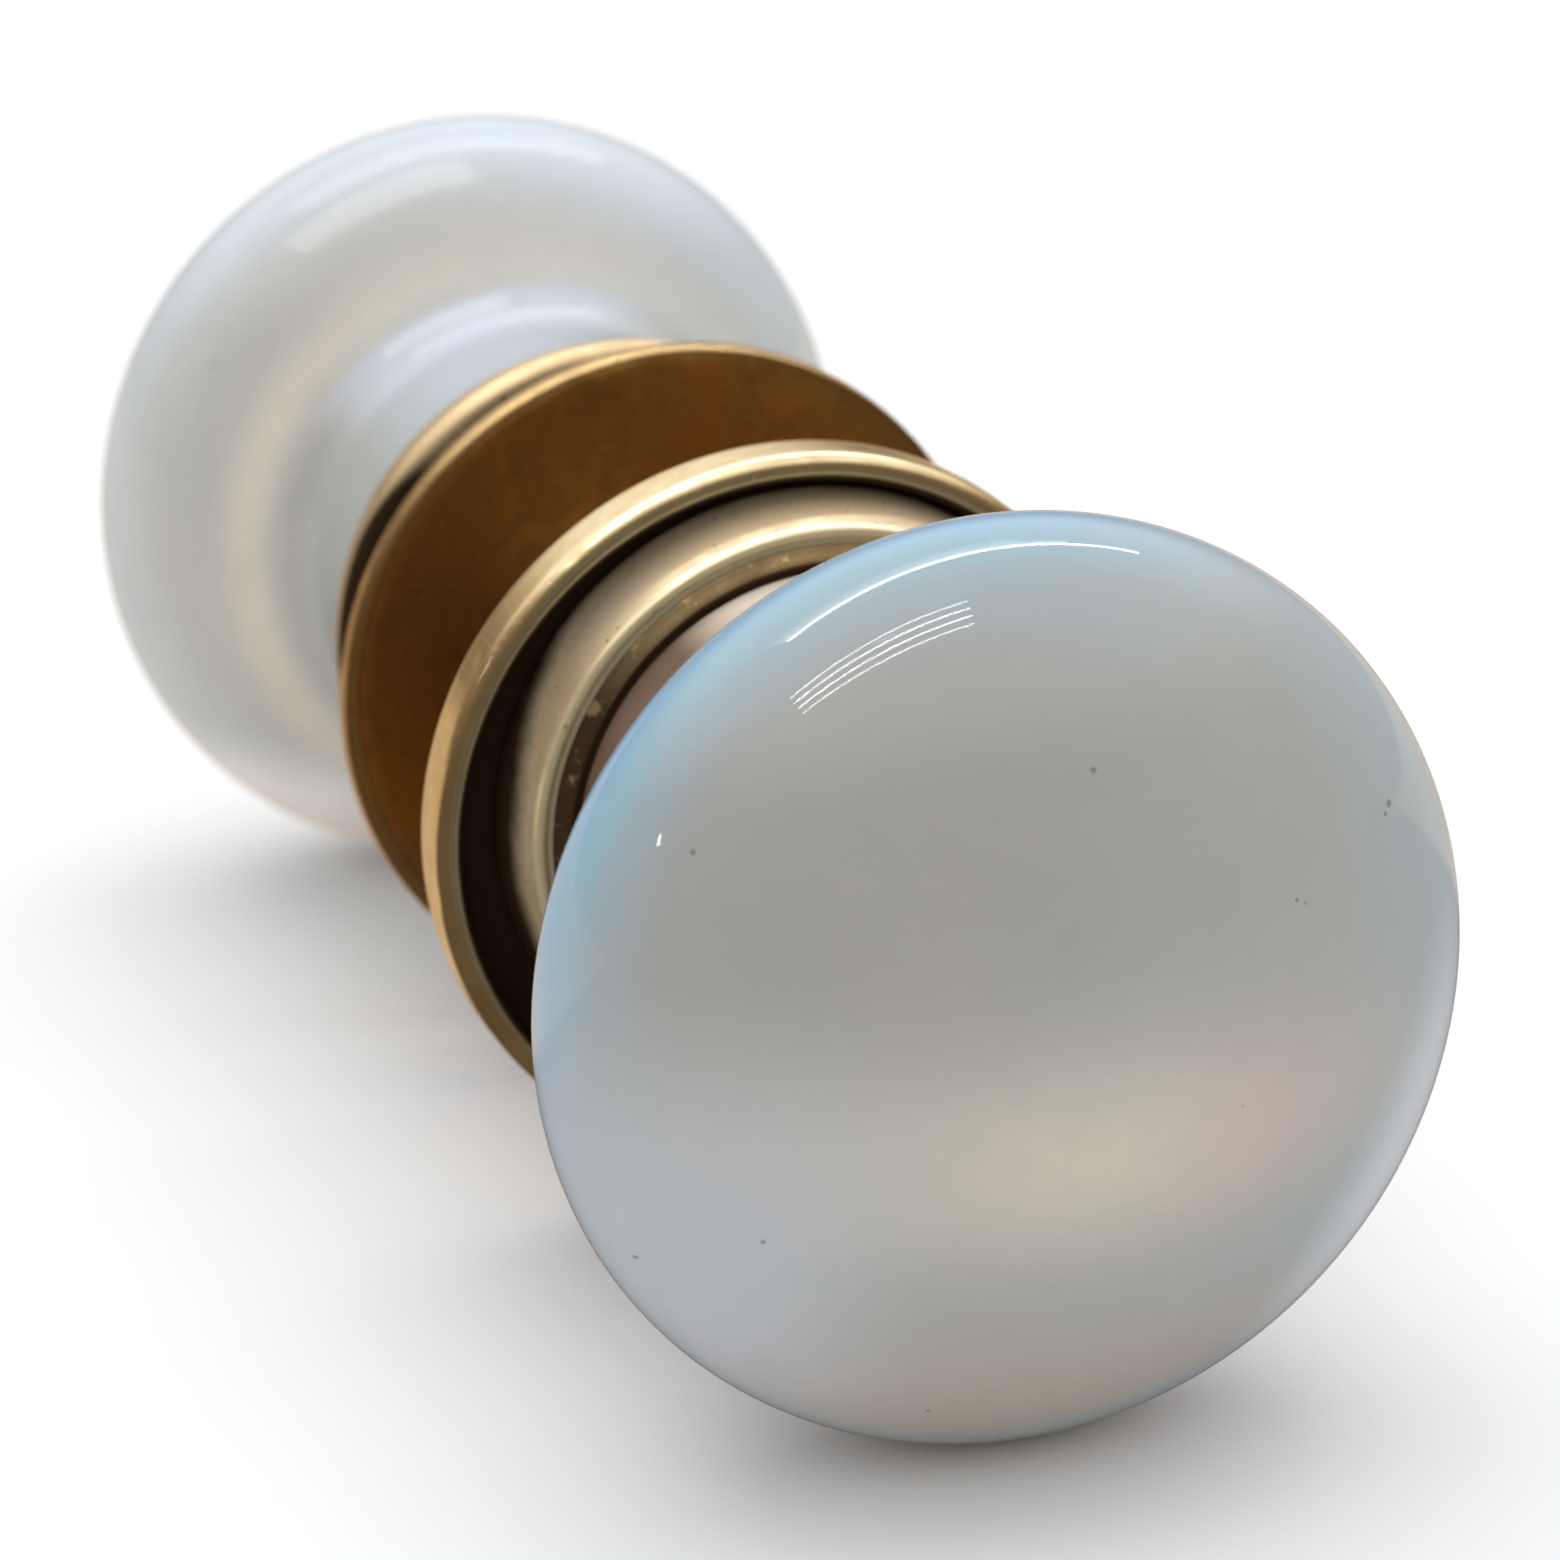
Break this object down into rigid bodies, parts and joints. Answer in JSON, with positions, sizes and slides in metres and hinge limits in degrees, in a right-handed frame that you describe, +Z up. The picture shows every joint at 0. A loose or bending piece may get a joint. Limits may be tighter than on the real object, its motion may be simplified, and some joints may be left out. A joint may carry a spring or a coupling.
{
  "type": "double door knob",
  "caption": "Pair of round opal glass door knobs on brass flanges, joined by a square spindle, with a loose dished brass rose behind each knob.",
  "frame": {"origin": "on the spindle axis, half-way between the two glass knobs, at the centre of the bounding box", "axes": "+Y along the spindle from the front knob to the rear knob, +Z up and square to one pair of spindle flats"},
  "size_m": [0.055, 0.1328, 0.055],
  "materials": {
    "opal_glass": "gloss",
    "setting_plaster": "matte",
    "polished_brass": "polished",
    "turned_brass": "satin",
    "back_brass": "satin",
    "spindle_steel": "satin"
  },
  "bodies": {
    "front_rose": {"front_rose": "polished_brass", "front_rose_back_disc": "back_brass"},
    "knob_set": {"front_glass_knob": "opal_glass", "front_cement_bed": "setting_plaster", "front_neck_ferrule": "polished_brass", "front_anchor_disc": "back_brass", "front_base_flange": "polished_brass", "front_shank": "turned_brass", "front_cross_pin": "spindle_steel", "spindle": "spindle_steel", "front_packing_washer": "spindle_steel", "rear_packing_washer": "spindle_steel"},
    "rear_knob": {"rear_glass_knob": "opal_glass", "rear_cement_bed": "setting_plaster", "rear_neck_ferrule": "polished_brass", "rear_anchor_disc": "back_brass", "rear_base_flange": "polished_brass", "rear_shank": "turned_brass"},
    "grub_screw": {"rear_grub_screw": "spindle_steel"},
    "rear_rose": {"rear_rose": "polished_brass", "rear_rose_back_disc": "back_brass"}
  },
  "joints": [
    {"name": "knob_turn", "type": "hinge", "parent": "front_rose", "child": "knob_set", "pos_m": [0, 0, 0], "axis": [0, 1, 0], "continuous": true},
    {"name": "rear_knob_adjust", "type": "slide", "parent": "knob_set", "child": "rear_knob", "axis": [0, 1, 0], "range_m": [0, 0.01]},
    {"name": "rear_rose_slide", "type": "slide", "parent": "front_rose", "child": "rear_rose", "axis": [0, 1, 0], "range_m": [-0.0203, 0.0088]},
    {"name": "grub_screw_out", "type": "slide", "parent": "rear_knob", "child": "grub_screw", "axis": [0, 0, -1], "range_m": [0, 0.003]}
  ]
}
